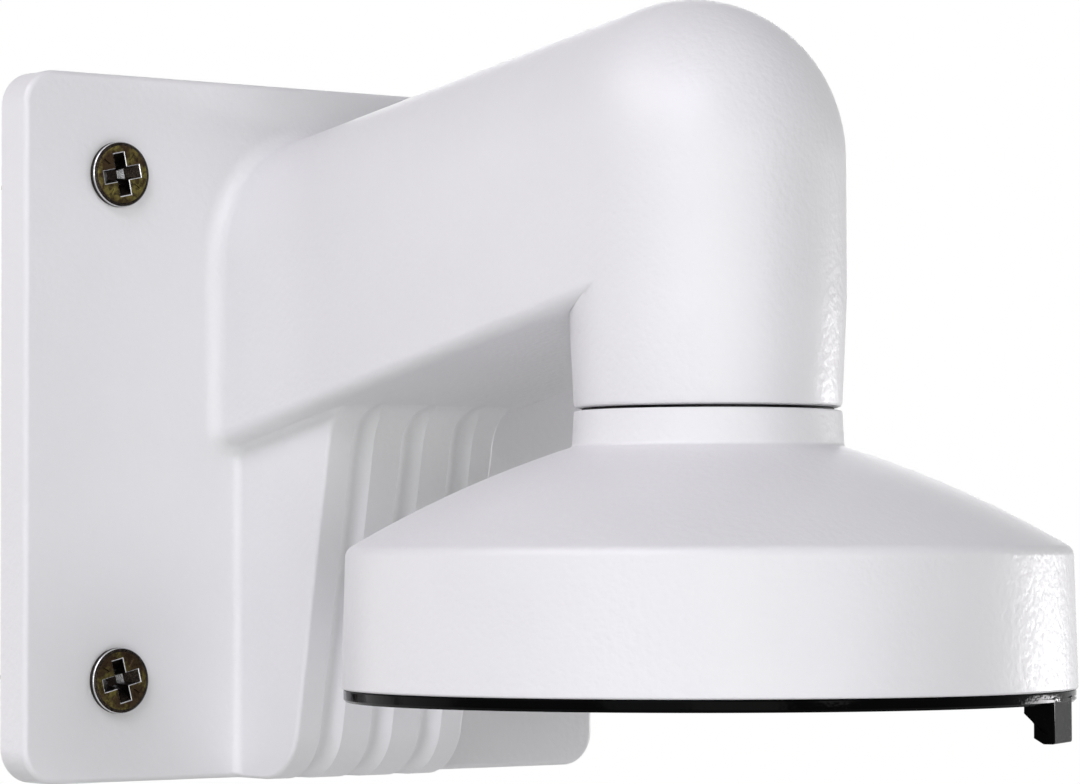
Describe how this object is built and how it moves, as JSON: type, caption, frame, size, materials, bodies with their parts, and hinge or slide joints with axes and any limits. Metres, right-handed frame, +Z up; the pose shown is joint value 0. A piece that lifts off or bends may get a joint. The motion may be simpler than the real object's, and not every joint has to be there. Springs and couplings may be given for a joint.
{
  "type": "camera wall bracket",
  "caption": "Cast wall arm for a small dome camera: a square wall plate, a hollow arm bent down over a fluted box, and a round screwed-on hood with a black camera plate.",
  "frame": {"origin": "middle of the wall plate's back face, which is also the middle of the four wall screws", "axes": "+Z up, the wall is the plane y = 0, the arm stands out along -Y, x = 0 is the plane of symmetry"},
  "size_m": [0.12, 0.1988, 0.1246],
  "materials": {
    "arm_paint": "satin",
    "hood_paint": "satin",
    "black_plastic": "gloss",
    "yellow_zinc": "satin",
    "screw_steel": "satin",
    "lock_steel": "matte"
  },
  "bodies": {
    "root": {"bracket_arm": "arm_paint", "hood": "hood_paint", "camera_plate": "black_plastic", "wall_screws": "yellow_zinc", "plate_screws": "screw_steel", "lock_screw": "lock_steel"}
  },
  "joints": []
}
